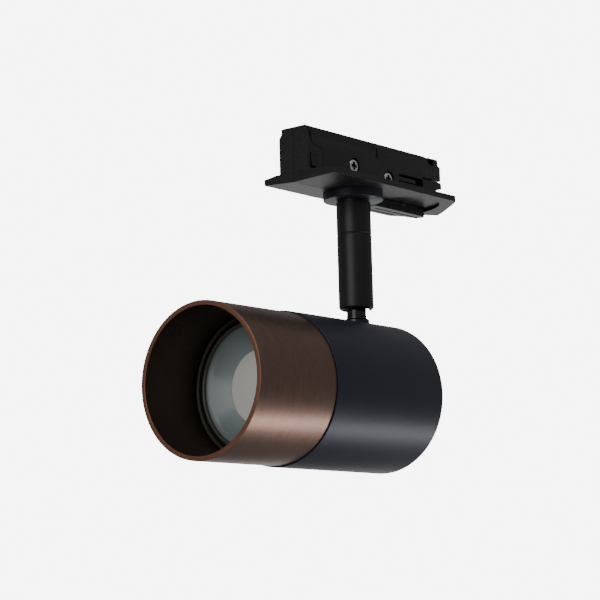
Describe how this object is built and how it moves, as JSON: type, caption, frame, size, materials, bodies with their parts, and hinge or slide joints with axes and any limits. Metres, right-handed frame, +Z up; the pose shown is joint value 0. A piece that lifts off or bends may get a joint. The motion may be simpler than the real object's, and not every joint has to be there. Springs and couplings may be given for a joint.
{
  "type": "track spotlight",
  "caption": "Cylindrical track spotlight: charcoal head with a brushed bronze snoot, tilting and panning stem, and a track adapter with a lock lever.",
  "frame": {"origin": "on the stem's axis, in the plane of the adapter's track seat", "axes": "+Z up into the track, -X the way the beam leaves, +Y the side with the spring contacts"},
  "size_m": [0.1566, 0.06, 0.1357],
  "materials": {
    "housing": "matte",
    "lever_plastic": "matte",
    "black_paint": "satin powder coat",
    "bronze": "brushed, bronze anodised",
    "bright_steel": "zinc plated",
    "dark_steel": "black nickel",
    "contact_brass": "plain",
    "inner_plastic": "matte",
    "wire_cover": "matte",
    "friction_nylon": "matte",
    "sleeve": "satin",
    "o_ring_rubber": "matte",
    "lamp_body": "satin",
    "lens": "frosted",
    "reflector": "bright",
    "led_board": "matte",
    "steatite": "matte"
  },
  "bodies": {
    "adapter": {"adapter_near_half": "housing", "adapter_far_half": "housing", "adapter_end_block": "housing", "adapter_end_hook": "housing", "housing_screws": "bright_steel", "live_contact": "contact_brass", "neutral_contact": "contact_brass", "earth_contact": "contact_brass", "contact_carrier": "inner_plastic", "terminal_block": "inner_plastic", "terminal_screws": "bright_steel", "supply_leads": "wire_cover", "cam_spacer": "bright_steel", "hub_disc": "black_paint", "swivel_nipple": "bright_steel", "stem_collar": "black_paint", "stop_pin": "bright_steel", "thrust_washer": "friction_nylon", "swivel_washer": "bright_steel", "swivel_nut": "bright_steel"},
    "lever": {"lock_lever": "lever_plastic", "lock_cam": "lever_plastic", "cam_screw": "bright_steel"},
    "stem": {"stem_tube": "black_paint", "pivot_pins": "black_paint", "friction_washers": "friction_nylon", "stem_leads": "wire_cover"},
    "head": {"knuckle": "dark_steel", "knuckle_washer": "bright_steel", "knuckle_nut": "bright_steel", "head_tube": "black_paint", "rear_cap": "black_paint", "rear_screws": "bright_steel", "coupling_sleeve": "sleeve", "snoot_o_rings": "o_ring_rubber", "lampholder": "steatite", "holder_contacts": "contact_brass", "holder_screws": "bright_steel", "holder_nuts": "bright_steel", "holder_bracket": "bright_steel", "earth_screw": "bright_steel", "earth_tag": "contact_brass", "head_leads": "wire_cover"},
    "snoot_shell": {"snoot": "bronze"},
    "lamp": {"lamp_bezel": "lamp_body", "lamp_lens": "lens", "lamp_housing": "lamp_body", "lamp_reflector": "reflector", "led_board": "led_board", "lamp_base": "lamp_body", "lamp_pins": "contact_brass"}
  },
  "joints": [
    {"name": "lever_turn", "type": "hinge", "parent": "adapter", "child": "lever", "pos_m": [0.0345, 0.00275, 0], "axis": [0, 0, -1], "range_deg": [0, 90]},
    {"name": "stem_pan", "type": "hinge", "parent": "adapter", "child": "stem", "pos_m": [0, 0, -0.0212], "axis": [0, 0, 1], "range_deg": [-168, 168]},
    {"name": "head_tilt", "type": "hinge", "parent": "stem", "child": "head", "pos_m": [0, 0, -0.0472], "axis": [0, -1, 0], "range_deg": [0, 90]},
    {"name": "snoot_pull", "type": "slide", "parent": "head", "child": "snoot_shell", "axis": [-1, 0, 0], "range_m": [0, 0.012]},
    {"name": "lamp_twist", "type": "hinge", "parent": "head", "child": "lamp", "pos_m": [0, 0, -0.0875], "axis": [1, 0, 0], "range_deg": [0, 20]}
  ]
}
